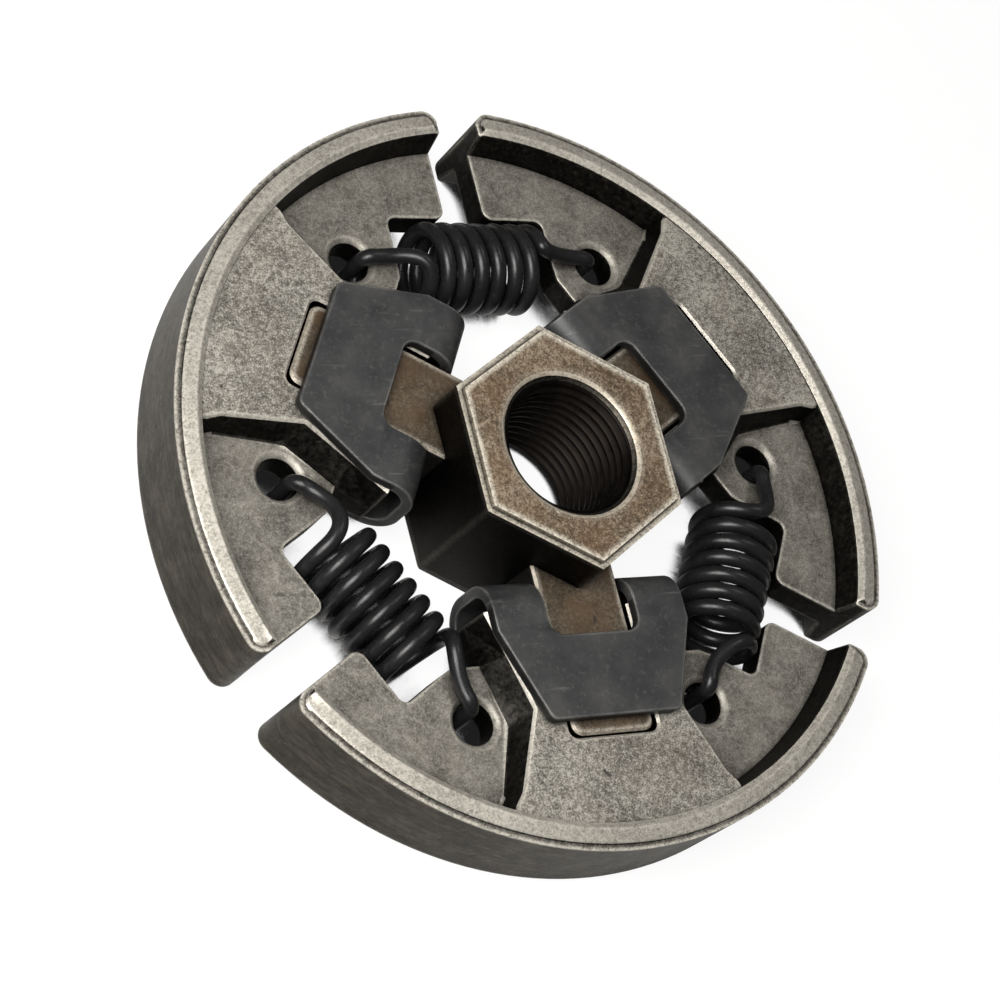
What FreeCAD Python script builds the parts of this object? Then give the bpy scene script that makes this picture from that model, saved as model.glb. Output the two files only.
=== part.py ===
import FreeCAD, Part
import math
import os

# Driving sizes in millimetres and degrees. The clutch lies on its back: z is the
# crank axis, the hub's hexagon points up, and z = 0 is the hub's back face.
shoe_names = ("a", "b", "c")
first_angle = 150.0
share = 360.0 / len(shoe_names)     # the part of the circle that one shoe has
half_share = share / 2
shoe_angles = {name: first_angle - share * i for i, name in enumerate(shoe_names)}
cut_over = 1.0              # how far a cutter runs past the face it cuts

# Hub and arms, one pressed piece
hub_sides = 6
hub_across_flats = 19.0
hub_length = 12.8
land_width = 0.2            # flat step that the press leaves round an end face
land_depth = 0.45           # how far the end face stands above that step
bevel_run = 0.34            # width of the bevel between step and end face
bore_radius = 6.0           # bottom of the grooves of an M12 x 1 thread
bore_mouth_width = 0.5
bore_mouth_depth = 0.5
arm_half_width = 3.95
arm_tip_reach = 23.4
arm_tip_radius = 1.0
arm_back = 3.25
arm_thickness = 5.1
arm_front = arm_back + arm_thickness
arm_edge_bevel = 0.2

# Shoe: a plate with a rim round it and a raised middle that holds the arm
shoe_travel = 1.5           # how far a shoe slides out to meet the drum
rim_radius = 34.65          # the drum's inside radius, about a centre drawn in by the travel
rim_back = 0.15
rim_front = 8.85
rim_corner_radius = 1.3
rim_land = 0.22
rim_bevel = 0.4
rim_lip_width = 0.5         # bevel on the rim's inner edges
rim_lip_depth = 0.35
rim_foot_thickness = 2.9    # where the rim's wall stands on the plate
rim_edge_thickness = 2.25   # and at its open edge
rim_wall_radius_floor = rim_radius - rim_foot_thickness
rim_wall_radius_edge = rim_radius - rim_edge_thickness
rim_root_radius = rim_wall_radius_floor - cut_over      # the rim's ring starts inside the plate
middle_root_radius = rim_radius - rim_edge_thickness / 2  # the plate ends inside the rim
end_gap = 2.0               # from a shoe's end to the line midway to the next shoe
plate_thickness = 2.75
plate_back = arm_back
plate_front = plate_back + plate_thickness
plate_inner_reach = 16.2
plate_inner_half_width = 12.2
arm_play = 0.05             # how far the raised middle stands over the arm's front face
middle_front = arm_front + arm_play
arm_side_gap = 0.35
arm_tip_gap = 0.2
slot_half_width = arm_half_width + arm_side_gap
slot_reach = arm_tip_reach + arm_tip_gap
slot_corner_radius = 0.8
slot_edge_bevel = 0.2
middle_edge_bevel = 0.25    # along the raised middle's sides

# Retainer: one strip of sheet bent into a U over the lugs
sheet = 1.0
sheet_gap = 0.05            # between the sheet and the faces it clips over
hub_gap = 0.4               # between the bend and the hub's flats
retainer_back = plate_back - sheet_gap - sheet
retainer_front = middle_front + sheet_gap + sheet
bend_reach = hub_across_flats / 2 + hub_gap     # the outside of the bend, nearest the hub
bend_radius = 2.6           # on the outside
retainer_reach = 22.25
retainer_half_width = 9.3
retainer_tip_half_width = 6.2
taper_start = 14.5
retainer_corner_radius = 0.8
notch_gap = 0.05            # from the slot's sides to the notch's sides
notch_half_width = slot_half_width + notch_gap
notch_reach = 15.2
notch_corner_radius = 1.25

# Half outline of the raised middle, as reach along the arm and distance beside it.
# Its lugs start where the sheet's bend ends.
lug_tuck = 0.05
lug_reach = bend_reach + bend_radius - lug_tuck
middle_end = rim_radius - shoe_travel
middle_top = [(lug_reach, 9.5), (16.3, 8.35), (20.85, 7.05), (27.5, 9.95), (28.5, 10.8), (middle_end, 12.66)]
middle_foot = [(lug_reach, 9.6), (16.3, 9.7), (21.6, 8.3), (27.3, 10.35), (28.2, 11.2), (middle_end, 13.06)]

# Spring, and the room and holes for it in the ends of the shoes, which are measured
# along and beside the line midway between two shoes
spring_reach = 20.19        # from the crank axis to the spring's own axis
spring_height = 4.75
coil_radius = 3.35          # to the middle of the wire
wire_radius = 0.65
coil_turns = 6.83
coil_gap = 0.38             # between one turn of wire and the next
coil_pitch = 2 * wire_radius + coil_gap
coil_half_length = coil_turns * coil_pitch / 2
room_gap = 0.21             # outside the coil
room_end_gap = 1.46         # past each end of the coil
room_reach = spring_reach + coil_radius + wire_radius + room_gap
room_half_length = coil_half_length + wire_radius + room_end_gap
room_foot_reach = 20.0
tooth_corner_radius = 1.0
room_corner_radius = 0.8
foot_corner_radius = 0.8
hole_setback = 4.57         # from the room's end to the middle of the hole
hole_half_distance = room_half_length + hole_setback
hole_play = 1.1
hole_radius = wire_radius + hole_play
hook_side_gap = 0.16        # between the hook and the hole's near side
hook_plate_gap = 0.16       # between the hook and the plate it lies over
hook_rise = plate_front + hook_plate_gap + wire_radius - spring_height
hook_tail = 0.9             # how far the hook's leg shows behind the plate
hook_leg_end = plate_back - hook_tail - spring_height
hook_bend_radius = 1.0
hook_pull = 1.7             # how far the wire keeps its first direction off the coil
hook_lead = 1.6             # and its last direction before the bend

# Each spring as fitted: where its coil starts round the axis, and how far each
# hook leans out of line with the axis, positive towards the rim
spring_fit = {
    "spring_ab": {"between": ("a", "b"), "start": 100.0, "lean": (0.0, 5.0)},
    "spring_bc": {"between": ("b", "c"), "start": 75.0, "lean": (20.0, -10.0)},
    "spring_ca": {"between": ("c", "a"), "start": 160.0, "lean": (-10.0, -25.0)},
}
steps_per_turn = 12
steps_per_hook = 6
steps_per_bend = 3
wire_sides = 6

quarter_turn = 90.0
vec = FreeCAD.Vector
up = vec(0, 0, 1)


def rounded_wire(corners, z):
    """Closed outline at height z through (x, y, radius) corners."""
    edges = []
    last = None
    first = None
    count = len(corners)
    for i in range(count):
        x, y, radius = corners[i]
        here = vec(x, y, z)
        before = vec(corners[i - 1][0], corners[i - 1][1], z)
        after = vec(corners[(i + 1) % count][0], corners[(i + 1) % count][1], z)
        start = here
        end = here
        if radius > 0:
            back = (before - here).normalize()
            ahead = (after - here).normalize()
            half = back.getAngle(ahead) / 2
            start = here + back * (radius / math.tan(half))
            end = here + ahead * (radius / math.tan(half))
            inward = (back + ahead).normalize()
            middle = here + inward * (radius / math.sin(half) - radius)
        if last is None:
            first = start
        else:
            edges.append(Part.makeLine(last, start))
        if radius > 0:
            edges.append(Part.Arc(start, middle, end).toShape())
        last = end
    edges.append(Part.makeLine(last, first))
    return Part.Wire(edges)


def prism(corners, low, high):
    """Upright solid between two heights on a rounded outline."""
    return Part.Face(rounded_wire(corners, low)).extrude(up * (high - low))


def upright_cylinder(radius, low, high, x=0.0, y=0.0):
    return Part.makeCylinder(radius, high - low, vec(x, y, low))


def upright_cone(low_radius, high_radius, low, high):
    return Part.makeCone(low_radius, high_radius, high - low, vec(0, 0, low))


def flat(points):
    return Part.Face(Part.makePolygon(list(points) + [points[0]]))


def enclosed(faces):
    """Solid inside a closed set of faces."""
    body = Part.Solid(Part.Shell(faces))
    if body.Volume < 0:
        body.reverse()
    return body


def mirrored(half):
    """Whole outline from the half on the positive side, given as (x, y, radius)."""
    return half + [(x, -y, radius) for x, y, radius in reversed(half)]


def at_share_line(reach, beside):
    """Shoe point from its place along, and beside, the line midway to the next shoe."""
    turn = math.radians(half_share)
    x = reach * math.cos(turn) + beside * math.sin(turn)
    y = reach * math.sin(turn) - beside * math.cos(turn)
    return x, y


def turned(shape, angle):
    return shape.copy().rotate(vec(0, 0, 0), up, angle)


def hexagon(across_flats, z):
    """Hexagon with a corner over each arm."""
    corner = across_flats / math.sqrt(3)
    points = []
    for i in range(hub_sides + 1):
        angle = math.radians(first_angle) + math.tau * i / hub_sides
        points.append(vec(corner * math.cos(angle), corner * math.sin(angle), z))
    return Part.makePolygon(points)


def carrier():
    """Hexagon hub with its bore, and the three arms that carry the shoes."""
    step = hub_across_flats - 2 * land_width
    face = step - 2 * bevel_run
    low_step = land_depth
    high_step = hub_length - land_depth
    body = Part.Face(hexagon(hub_across_flats, low_step)).extrude(up * (high_step - low_step))
    body = body.fuse(Part.makeLoft([hexagon(step, high_step), hexagon(face, hub_length)], True, True))
    body = body.fuse(Part.makeLoft([hexagon(face, 0), hexagon(step, low_step)], True, True))
    tip = (arm_tip_reach, arm_half_width, arm_tip_radius)
    outline = mirrored([(0, arm_half_width, 0), tip])
    arm = prism(outline, arm_back, arm_front)
    rims = [edge for edge in arm.Edges if abs(edge.BoundBox.ZMax - edge.BoundBox.ZMin) < arm_edge_bevel]
    arm = arm.makeChamfer(arm_edge_bevel, rims)
    for angle in shoe_angles.values():
        body = body.fuse(turned(arm, angle))
    body = body.cut(upright_cylinder(bore_radius, -cut_over, hub_length + cut_over))
    mouth = bore_radius + bore_mouth_width
    body = body.cut(upright_cone(bore_radius, mouth, hub_length - bore_mouth_depth, hub_length))
    body = body.cut(upright_cone(mouth, bore_radius, 0, bore_mouth_depth))
    return body.removeSplitter()


def rim_point(radius, beside):
    """Shoe point on a circle about the rim's centre, beside the line midway to the next shoe."""
    turn = math.radians(half_share)
    across = beside + shoe_travel * math.sin(turn)
    reach = math.sqrt(radius ** 2 - across ** 2) - shoe_travel * math.cos(turn)
    return at_share_line(reach, beside)


def rim_wire(inset, z):
    """Outline of the rim, drawn in by inset on its round side and at both ends."""
    outer = rim_radius - inset
    gap = end_gap + inset
    corner = rim_corner_radius - inset
    turn = math.radians(half_share)
    middle = rim_point(outer - corner, gap + corner)
    root = rim_point(rim_root_radius, gap)
    on_end = (middle[0] - corner * math.sin(turn), middle[1] + corner * math.cos(turn))
    spread = math.atan2(middle[1], middle[0] + shoe_travel)
    on_arc = (outer * math.cos(spread) - shoe_travel, outer * math.sin(spread))
    bulge_angle = (spread + turn + math.pi / 2) / 2
    bulge = (middle[0] + corner * math.cos(bulge_angle), middle[1] + corner * math.sin(bulge_angle))

    def point(place, side):
        return vec(place[0], side * place[1], z)

    edges = []
    for side in (1, -1):
        edges.append(Part.makeLine(point(root, side), point(on_end, side)))
        edges.append(Part.Arc(point(on_end, side), point(bulge, side), point(on_arc, side)).toShape())
    for radius, place in ((outer, on_arc), (rim_root_radius, root)):
        crown = vec(radius - shoe_travel, 0, z)
        edges.append(Part.Arc(point(place, 1), crown, point(place, -1)).toShape())
    return Part.Wire(Part.__sortEdges__(edges))


def rim_hollow(floor, edge):
    """Cutter for the space inside the rim, from the plate past the rim's front or back."""
    way = 1 if edge > floor else -1
    depth = abs(edge - floor)
    flare = (rim_foot_thickness - rim_edge_thickness) / (depth - rim_lip_depth)
    depth = depth + cut_over
    base = vec(-shoe_travel, 0, floor)
    return Part.makeCone(rim_wall_radius_floor, rim_wall_radius_floor + flare * depth, depth, base, up * way)


def rim_lip():
    """Cutter for the bevel on the rim's inner front edge."""
    depth = rim_lip_depth + cut_over
    wide = rim_wall_radius_edge + depth * rim_lip_width / rim_lip_depth
    return Part.makeCone(rim_wall_radius_edge, wide, depth, vec(-shoe_travel, 0, rim_front - rim_lip_depth))


def rim():
    """Friction rim with bevelled edges, hollowed in front of the plate and behind it."""
    low = rim_back + rim_bevel
    high = rim_front - rim_bevel
    body = Part.Face(rim_wire(0, low)).extrude(up * (high - low))
    edge = rim_land + rim_bevel
    body = body.fuse(Part.makeLoft([rim_wire(rim_land, high), rim_wire(edge, rim_front)], True, True))
    body = body.fuse(Part.makeLoft([rim_wire(rim_bevel, rim_back), rim_wire(0, low)], True, True))
    body = body.cut(rim_hollow(plate_front, rim_front)).cut(rim_hollow(plate_back, rim_back))
    return body.cut(rim_lip())


def plate():
    """Flat plate of the shoe, cut away at both ends for the springs."""
    half = [
        (plate_inner_reach, plate_inner_half_width, foot_corner_radius),
        at_share_line(room_foot_reach, room_half_length) + (0,),
        at_share_line(room_reach, room_half_length) + (room_corner_radius,),
        at_share_line(room_reach, end_gap) + (tooth_corner_radius,),
        at_share_line(2 * rim_radius, end_gap) + (0,),
    ]
    body = prism(mirrored(half), plate_back, plate_front)
    return body.common(upright_cylinder(middle_root_radius, plate_back, plate_front, -shoe_travel))


def flat_sided(low_half, low, high_half, high):
    """Solid between two half outlines and their mirror images, each side split into two flats."""
    foot = [vec(x, y, low) for x, y in low_half]
    foot += [vec(x, -y, low) for x, y in reversed(low_half)]
    top = [vec(x, y, high) for x, y in high_half]
    top += [vec(x, -y, high) for x, y in reversed(high_half)]
    faces = [flat(foot), flat(top)]
    count = len(foot)
    for i in range(count):
        j = (i + 1) % count
        # the fold runs the same way on both mirror halves
        if i < count // 2:
            corners = [(foot[i], foot[j], top[j]), (foot[i], top[j], top[i])]
        else:
            corners = [(foot[i], foot[j], top[i]), (foot[j], top[j], top[i])]
        faces += [flat(corner) for corner in corners]
    return enclosed(faces)


def raised_middle():
    """Raised middle with sloping sides and bevelled edges, and two lugs that reach inwards."""
    foot = mirrored([(x, y, 0) for x, y in middle_foot])
    crest = [(x, y - middle_edge_bevel) for x, y in middle_top]
    shoulder = middle_front - middle_edge_bevel
    body = flat_sided(middle_foot, plate_front, middle_top, shoulder)
    body = body.fuse(flat_sided(middle_top, shoulder, crest, middle_front))
    body = body.fuse(prism(foot, plate_back, plate_front))
    return body.common(upright_cylinder(middle_root_radius, plate_back, middle_front, -shoe_travel))


def slot_wire(grow, z):
    """Outline of the slot that the arm fills, larger by grow on all sides."""
    side = slot_half_width + grow
    tip = (slot_reach + grow, side, slot_corner_radius + grow)
    return rounded_wire(mirrored([(0, side, 0), tip]), z)


def slot():
    """Cutter for the slot, flared into a bevel at its front edge."""
    low = plate_back - cut_over
    mouth = middle_front - slot_edge_bevel
    flare = slot_edge_bevel + cut_over
    body = Part.Face(slot_wire(0, low)).extrude(up * (mouth + flare - low))
    return body.fuse(Part.makeLoft([slot_wire(0, mouth), slot_wire(flare, mouth + flare)], True, True))


def shoe():
    """One shoe, with its arm along x."""
    body = rim().fuse(plate()).fuse(raised_middle()).cut(slot())
    for side in (1, -1):
        x, y = at_share_line(spring_reach, hole_half_distance)
        hole = upright_cylinder(hole_radius, plate_back - cut_over, plate_front + cut_over, x, side * y)
        body = body.cut(hole)
    return body.removeSplitter()


def retainer():
    """One U of sheet over the lugs of a shoe, notched for the arm."""
    def strip(inset, x_end):
        inner = bend_radius - inset
        corners = [
            (x_end, retainer_back + inset, 0),
            (x_end, retainer_front - inset, 0),
            (bend_reach + inset, retainer_front - inset, inner),
            (bend_reach + inset, retainer_back + inset, inner),
        ]
        face = Part.Face(rounded_wire(corners, 0))
        body = face.extrude(up * (2 * retainer_half_width))
        body.rotate(vec(0, 0, 0), vec(1, 0, 0), quarter_turn)
        body.translate(vec(0, retainer_half_width, 0))
        return body

    folded = strip(0, retainer_reach + cut_over).cut(strip(sheet, retainer_reach + 2 * cut_over))
    shape = mirrored([
        (0, retainer_half_width, 0),
        (taper_start, retainer_half_width, 0),
        (retainer_reach, retainer_tip_half_width, retainer_corner_radius),
    ])
    notch = mirrored([(0, notch_half_width, 0), (notch_reach, notch_half_width, notch_corner_radius)])
    low = retainer_back - cut_over
    high = retainer_front + cut_over
    return folded.common(prism(shape, low, high)).cut(prism(notch, low, high))


def curve_between(start, start_way, end, end_way):
    """Points on a smooth curve from one point and direction to another."""
    controls = [start, start + start_way * hook_pull, end - end_way * hook_lead, end]
    points = []
    for i in range(1, steps_per_hook + 1):
        t = i / steps_per_hook
        weights = [(1 - t) ** 3, 3 * t * (1 - t) ** 2, 3 * t * t * (1 - t), t ** 3]
        total = vec(0, 0, 0)
        for weight, control in zip(weights, controls):
            total = total + control * weight
        points.append(total)
    return points


def hook(start, start_way, side, lean):
    """Wire from the end of the coil over the plate and down through the hole.

    Here x is the spring's axis, y points to the rim and side is the end, 1 or -1."""
    turn = math.radians(lean)
    way = vec(side * math.cos(turn), -math.sin(turn), 0)
    play = hole_play - hook_side_gap
    leg = vec(side * hole_half_distance, 0, 0) - way * play
    bend_start = leg - way * hook_bend_radius + up * hook_rise
    points = curve_between(start, start_way, bend_start, way)
    for i in range(1, steps_per_bend + 1):
        angle = math.pi / 2 * i / steps_per_bend
        along = way * (hook_bend_radius * math.sin(angle))
        down = up * (hook_bend_radius * (math.cos(angle) - 1))
        points.append(bend_start + along + down)
    points.append(leg + up * hook_leg_end)
    return points


def spring_path(fit):
    """Middle line of the wire in the spring's own frame, hook to hook."""
    count = round(coil_turns * steps_per_turn)
    coil = []
    ways = []
    for i in range(count + 1):
        part = i / count
        angle = math.radians(fit["start"]) + math.tau * coil_turns * part
        y = coil_radius * math.cos(angle)
        z = coil_radius * math.sin(angle)
        coil.append(vec(coil_half_length * (2 * part - 1), y, z))
        ways.append(vec(coil_pitch / math.tau, -z, y).normalize())
    first = hook(coil[0], ways[0] * -1, -1, fit["lean"][0])
    last = hook(coil[-1], ways[-1], 1, fit["lean"][1])
    return first[::-1] + coil + last


def wire_rings(path):
    """Outlines of the wire, one at each point of the path.

    Each is the one before it, carried along one straight length to the plane
    where that length meets the next, so every side of the wire is flat."""
    way = (path[1] - path[0]).normalize()
    across = vec(0, 1, 0)
    other = way.cross(across)
    ring = []
    for k in range(wire_sides):
        angle = math.tau * k / wire_sides
        ring.append(path[0] + (across * math.cos(angle) + other * math.sin(angle)) * wire_radius)
    rings = [ring]
    for i in range(1, len(path)):
        ahead = way
        if i + 1 < len(path):
            ahead = (path[i + 1] - path[i]).normalize()
        meeting = way + ahead
        ring = [point + way * ((path[i] - point).dot(meeting) / way.dot(meeting)) for point in ring]
        rings.append(ring)
        way = ahead
    return rings


def spring(fit):
    """One tension spring in its place between two shoes."""
    rings = wire_rings(spring_path(fit))
    faces = [flat(rings[0]), flat(rings[-1])]
    for ring, after in zip(rings, rings[1:]):
        for k in range(wire_sides):
            faces.append(flat((ring[k - 1], ring[k], after[k], after[k - 1])))
    body = enclosed(faces)
    before = shoe_angles[fit["between"][0]]
    body.translate(vec(0, spring_reach, spring_height))
    return turned(body, before - half_share - quarter_turn)


os.makedirs("parts", exist_ok=True)
carrier().exportStep("parts/carrier.step")
one_shoe = shoe()
one_retainer = retainer()
for name, angle in shoe_angles.items():
    turned(one_shoe, angle).exportStep("parts/shoe_" + name + ".step")
    turned(one_retainer, angle).exportStep("parts/retainer_" + name + ".step")
for name, fit in spring_fit.items():
    spring(fit).exportStep("parts/" + name + ".step")
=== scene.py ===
import bpy
import bmesh
import numpy as np
from mathutils import Matrix, Vector


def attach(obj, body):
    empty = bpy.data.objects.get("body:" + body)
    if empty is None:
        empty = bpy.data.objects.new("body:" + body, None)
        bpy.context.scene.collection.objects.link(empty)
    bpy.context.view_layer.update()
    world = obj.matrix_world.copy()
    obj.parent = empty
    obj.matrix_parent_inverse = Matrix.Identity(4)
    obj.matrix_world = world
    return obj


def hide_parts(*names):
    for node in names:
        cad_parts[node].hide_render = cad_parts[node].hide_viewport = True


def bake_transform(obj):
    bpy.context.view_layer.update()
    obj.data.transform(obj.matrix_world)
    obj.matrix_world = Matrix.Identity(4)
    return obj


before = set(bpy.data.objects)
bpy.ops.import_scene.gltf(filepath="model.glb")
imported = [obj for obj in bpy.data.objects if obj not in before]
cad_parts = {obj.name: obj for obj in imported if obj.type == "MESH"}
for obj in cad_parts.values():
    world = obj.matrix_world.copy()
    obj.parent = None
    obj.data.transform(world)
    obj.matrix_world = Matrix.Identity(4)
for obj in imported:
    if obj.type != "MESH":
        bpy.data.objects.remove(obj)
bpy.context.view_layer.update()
mm = 0.001
perMetre = 1000.0
shoeTurn = {"a": 150.0, "b": 30.0, "c": -90.0}  # where each arm points, degrees


# small helpers for node trees

def put(tree, kind, inputs=None, **settings):
    node = tree.nodes.new("ShaderNode" + kind)
    for key, value in settings.items():
        setattr(node, key, value)
    for key, value in (inputs or {}).items():
        socket = node.inputs[key]
        if isinstance(value, bpy.types.NodeSocket):
            tree.links.new(value, socket)
        else:
            socket.default_value = value
    return node


def grains(tree, place, scale, detail=2.0, rough=0.5, twist=0.0):  # noise, about 0..1
    return put(tree, "TexNoise", {"Vector": place, "Scale": scale, "Detail": detail,
                                  "Roughness": rough, "Distortion": twist}).outputs[0]


def span(tree, value, low, high, toLow=0.0, toHigh=1.0):  # clamped stretch of a value
    return put(tree, "MapRange", {0: value, 1: low, 2: high, 3: toLow, 4: toHigh}).outputs[0]


def calc(tree, operation, first, second=0.0):
    return put(tree, "Math", {0: first, 1: second}, operation=operation).outputs[0]


def times(tree, first, second):
    return calc(tree, "MULTIPLY", first, second)


def tint(tree, amount, first, second, way="MIX"):  # colour mix, first to second
    return put(tree, "Mix", {0: amount, 6: first, 7: second},
               data_type="RGBA", blend_type=way).outputs[2]


def ladder(tree, value, steps):  # colour ramp from (place, colour) steps
    node = put(tree, "ValToRGB", {0: value})
    stops = node.color_ramp.elements
    while len(stops) < len(steps):
        stops.new(0.5)
    for stop, (place, colour) in zip(stops, steps):
        stop.position = place
        stop.color = colour
    return node.outputs[0]


def shaded(tree, colour, amount):  # colour times a number
    grey = put(tree, "CombineColor", {0: amount, 1: amount, 2: amount}).outputs[0]
    return tint(tree, 1.0, colour, grey, "MULTIPLY")


def openness(tree, reach, samples, **settings):  # 1 in the open, less where faces are close
    return put(tree, "AmbientOcclusion", {"Distance": reach}, samples=samples,
               **settings).outputs["AO"]


def rgb(red, green, blue):
    return (red, green, blue, 1.0)


def startMaterial(name):
    material = bpy.data.materials.new(name)
    material.use_nodes = True
    tree = material.node_tree
    surface = tree.nodes["Principled BSDF"]
    place = put(tree, "TexCoord").outputs["Object"]
    return material, tree, surface, place


def mark(tree, name):  # a number kept on the faces of a piece
    return put(tree, "Attribute", attribute_name=name).outputs["Fac"]


def join(tree, surface, **sockets):
    for key, value in sockets.items():
        tree.links.new(value, surface.inputs[key])


# pressed steel: speckled skin, black oxide on the walls, bright wear on the corners, and painted
# shade in creases, nooks and on the lower faces
# each grain is (scale, detail, roughness, twist), each range (from low, from high, to low, to high)

steelSet = {
    "rustRange": (0.42, 0.64), "scuffRange": (0.0, 0.014, 1.0, 0.0), "scuffArea": (0.42, 0.6),
    "pitRange": (0.73, 0.77), "pitShare": 0.8, "calmShadeRange": (0.7, 1.0),
    "lane": (14.0, 1500.0), "streak": (1.0, 4.0, 0.65, 0.6), "blot": (420.0, 4.0, 0.65),
    "streakShare": 0.55, "blotShare": 0.45,
    "polishRange": (0.3, 0.58, 0.35, 1.0), "polishGloss": 0.12, "oxideRange": (0.3, 0.75, 1.0, 0.88),
    "wearSamples": 6, "wearGrain": (0.38, 0.54, 0.3, 1.0), "creaseSamples": 4,
    "creaseRange": (0.5, 0.92), "nookSamples": 4, "nookRange": (0.2, 0.8),
    "glossRange": (0.3, 0.7), "bareRange": (0.0, 0.8), "grainHeight": 0.6, "bumpDepth": 0.00006,
}


def speckle(tree, place, look):  # the grain that colour, gloss and bump share
    fine = grains(tree, place, *look["fine"])
    clumps = grains(tree, place, *look["clumps"])
    broad = grains(tree, place, *look["broad"])
    mix = calc(tree, "ADD", times(tree, fine, look["fineShare"]),
               times(tree, clumps, 1.0 - look["fineShare"]))
    pits = span(tree, grains(tree, place, *look["pitGrain"]), *steelSet["pitRange"])
    return fine, clumps, broad, mix, pits


def grainySkin(tree, place, look, broad, mix, pits):  # colour of an open face
    s = steelSet
    drift = times(tree, calc(tree, "SUBTRACT", broad, 0.5), look["broadShare"])
    skin = ladder(tree, calc(tree, "ADD", mix, drift), look["skin"])
    rustPatch = span(tree, grains(tree, place, *look["rustGrain"]), *s["rustRange"])
    skin = tint(tree, times(tree, rustPatch, mark(tree, "rust")), skin, look["rust"])
    curl = calc(tree, "SUBTRACT", grains(tree, place, *look["scuffGrain"]), 0.5)
    scuff = times(tree, span(tree, calc(tree, "ABSOLUTE", curl), *s["scuffRange"]),
                  span(tree, broad, *s["scuffArea"]))
    skin = tint(tree, times(tree, scuff, look["scuffShare"]), skin, look["bright"])
    return tint(tree, times(tree, pits, s["pitShare"]), skin, look["pit"])


def rubbedSkin(tree, place, look):  # colour of a rubbed wall: streaks that run round the crank axis
    s = steelSet
    spread = put(tree, "SeparateXYZ", {0: place})
    bearing = calc(tree, "ARCTAN2", spread.outputs[1], spread.outputs[0])
    lane = put(tree, "CombineXYZ", {0: times(tree, bearing, s["lane"][0]),
                                    1: times(tree, spread.outputs[2], s["lane"][1])}).outputs[0]
    streak = times(tree, grains(tree, lane, *s["streak"]), s["streakShare"])
    blot = times(tree, grains(tree, place, *s["blot"]), s["blotShare"])
    return ladder(tree, calc(tree, "ADD", streak, blot), look["rubbed"])


def pressedSteel(look):
    s = steelSet
    material, tree, surface, place = startMaterial(look["name"])
    fine, clumps, broad, mix, pits = speckle(tree, place, look)
    skin = grainySkin(tree, place, look, broad, mix, pits)
    # painted shade: shadeTone darkens the faces below the raised ones, and these darker faces also
    # get a calmer mottle
    shadeTone = mark(tree, "shadeTone")
    cloud = ladder(tree, grains(tree, place, *look["cloudGrain"]), look["cloud"])
    skin = tint(tree, span(tree, shadeTone, *s["calmShadeRange"], look["calm"], 0.0), skin, cloud)
    skin = shaded(tree, skin, shadeTone)
    rubbed = mark(tree, "rubbed")
    skin = tint(tree, rubbed, skin, rubbedSkin(tree, place, look))
    # polished places keep some grain, and oxide lies on the walls that nothing rubs
    polish = times(tree, mark(tree, "polish"), span(tree, mix, *s["polishRange"]))
    skin = tint(tree, polish, skin, look["bright"])
    oxide = times(tree, mark(tree, "oxide"), span(tree, clumps, *s["oxideRange"]))
    skin = tint(tree, oxide, skin, look["black"])
    # wear on outside corners, broken up by the grain
    inside = openness(tree, look["wearWidth"], s["wearSamples"], inside=True, only_local=True)
    corner = times(tree, span(tree, inside, *look["wearRange"]), span(tree, mix, *s["wearGrain"]))
    keep = calc(tree, "SUBTRACT", 1.0, times(tree, mark(tree, "oxide"), look["oxideKeep"]))
    corner = times(tree, times(tree, corner, keep), times(tree, shadeTone, look["wear"]))
    skin = tint(tree, corner, skin, look["edge"])
    # painted shade: a dark line in each crease, and darker where pieces meet and faces close in
    creaseShade = openness(tree, look["creaseWidth"], s["creaseSamples"], only_local=True)
    skin = shaded(tree, skin, span(tree, creaseShade, *s["creaseRange"], look["creaseShadeDepth"], 1.0))
    nookShade = openness(tree, look["nookReach"], s["nookSamples"])
    skin = shaded(tree, skin, span(tree, nookShade, *s["nookRange"], look["nookShadeDepth"], 1.0))
    gloss = span(tree, mix, *s["glossRange"], *look["gloss"])
    gloss = calc(tree, "SUBTRACT", gloss, times(tree, polish, s["polishGloss"]))
    bare = calc(tree, "MAXIMUM", oxide, rubbed)
    metal = span(tree, bare, *s["bareRange"], look["metal"], 1.0)
    height = calc(tree, "ADD", times(tree, fine, s["grainHeight"]),
                  times(tree, clumps, s["grainHeight"]))
    height = calc(tree, "SUBTRACT", height, pits)
    bump = put(tree, "Bump", {"Strength": look["bump"], "Distance": s["bumpDepth"],
                              "Height": height}).outputs[0]
    join(tree, surface, **{"Base Color": skin, "Metallic": metal, "Roughness": gloss,
                           "Normal": bump})
    return material


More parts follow.
